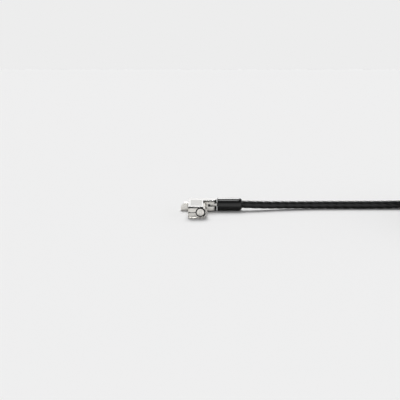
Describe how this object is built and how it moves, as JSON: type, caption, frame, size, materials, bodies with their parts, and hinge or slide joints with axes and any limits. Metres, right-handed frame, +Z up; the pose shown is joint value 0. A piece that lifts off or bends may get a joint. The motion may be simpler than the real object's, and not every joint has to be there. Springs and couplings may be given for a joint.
{
  "type": "laptop cable lock",
  "caption": "Keyed barrel lock with a spreading two-jaw nose for a device's security slot, a swivelling collar and a jacketed steel cable that ends in a crimped eye.",
  "frame": {"origin": "middle of the lock's footprint without its free cable, on the surface that it lies on", "axes": "+X to the right along the cable, +Y back along the locking nose, +Z up"},
  "size_m": [0.2263, 0.0682, 0.0341],
  "materials": {
    "nickel_zinc": "satin nickel plate on a zinc die casting",
    "pale_satin_metal": "brushed satin nickel plate",
    "plug_nickel": "turned and satin nickel plated",
    "hard_steel": "ground, hardened",
    "jaw_steel": "hardened and nickel plated",
    "link_steel": "nickel plated",
    "dark_steel": "black oxide",
    "spring_steel": "drawn wire",
    "wire_steel": "galvanised strand",
    "brass": "stamped",
    "pad_rubber": "matt black",
    "black_collar": "glossy black moulding",
    "ferrule_aluminium": "pressed",
    "cable_jacket": "thin black jacket over twisted strands",
    "tie_fabric": "woven hook and loop strap"
  },
  "bodies": {
    "head": {"body_lower": "nickel_zinc", "body_upper": "nickel_zinc", "top_cover": "pale_satin_metal", "dowel_pins": "hard_steel", "guard_ring": "dark_steel", "cylinder_shell": "hard_steel", "blade_spring": "spring_steel", "nose_block": "nickel_zinc", "nose_plate": "hard_steel", "contact_pad": "pad_rubber", "rear_screws": "dark_steel", "swivel_pin": "hard_steel"},
    "plug": {"plug_core": "plug_nickel", "code_disc_1": "brass", "code_disc_2": "brass", "code_disc_3": "brass", "code_disc_4": "brass", "code_disc_5": "brass", "disc_spacers": "hard_steel", "shutter_spring": "spring_steel", "plug_clip": "dark_steel", "face_cam": "hard_steel"},
    "sidebar": {"sidebar": "hard_steel"},
    "shutter": {"keyway_shutter": "plug_nickel"},
    "blade": {"locking_blade": "hard_steel"},
    "jaw_left": {"jaw_left": "jaw_steel"},
    "jaw_right": {"jaw_right": "jaw_steel"},
    "link": {"swivel_link": "link_steel", "thrust_washer": "brass", "cable_run": "cable_jacket", "cable_coil": "cable_jacket", "cable_tail": "cable_jacket", "cable_eye": "cable_jacket", "eye_ferrule": "ferrule_aluminium", "coil_ties": "tie_fabric"},
    "collar": {"collar": "black_collar", "crimp_ferrule": "ferrule_aluminium", "wire_core": "wire_steel"}
  },
  "joints": [
    {"name": "plug_turn", "type": "hinge", "parent": "head", "child": "plug", "pos_m": [-0.0068, 0, 0.0036], "axis": [0, 1, 0], "range_deg": [0, 90]},
    {"name": "sidebar_rise", "type": "slide", "parent": "plug", "child": "sidebar", "axis": [0, 0, 1], "range_m": [0, 0.0003]},
    {"name": "shutter_push", "type": "slide", "parent": "plug", "child": "shutter", "axis": [0, 1, 0], "range_m": [0, 0.004], "stiffness_N_per_m": 60, "springref_m": -0.001, "deforming": ["shutter_spring"]},
    {"name": "blade_slide", "type": "slide", "parent": "head", "child": "blade", "axis": [0, 1, 0], "range_m": [-0.0016, 0], "deforming": ["blade_spring"]},
    {"name": "jaw_left_slide", "type": "slide", "parent": "head", "child": "jaw_left", "axis": [1, 0, 0], "range_m": [0, 0.0006]},
    {"name": "jaw_right_slide", "type": "slide", "parent": "head", "child": "jaw_right", "axis": [1, 0, 0], "range_m": [-0.0006, 0]},
    {"name": "link_pivot", "type": "hinge", "parent": "head", "child": "link", "pos_m": [-0.0006, 0.00715, 0.004], "axis": [0, 0, 1], "range_deg": [-60, 60]},
    {"name": "collar_spin", "type": "hinge", "parent": "link", "child": "collar", "pos_m": [0.0038, 0.00715, 0.004], "axis": [1, 0, 0], "continuous": true}
  ],
  "couplings": [
    {"joint": "plug_turn", "follows": "blade_slide", "rad_per_m": -981.75},
    {"joint": "jaw_left_slide", "follows": "blade_slide", "ratio": -0.375},
    {"joint": "jaw_right_slide", "follows": "blade_slide", "ratio": 0.375}
  ]
}
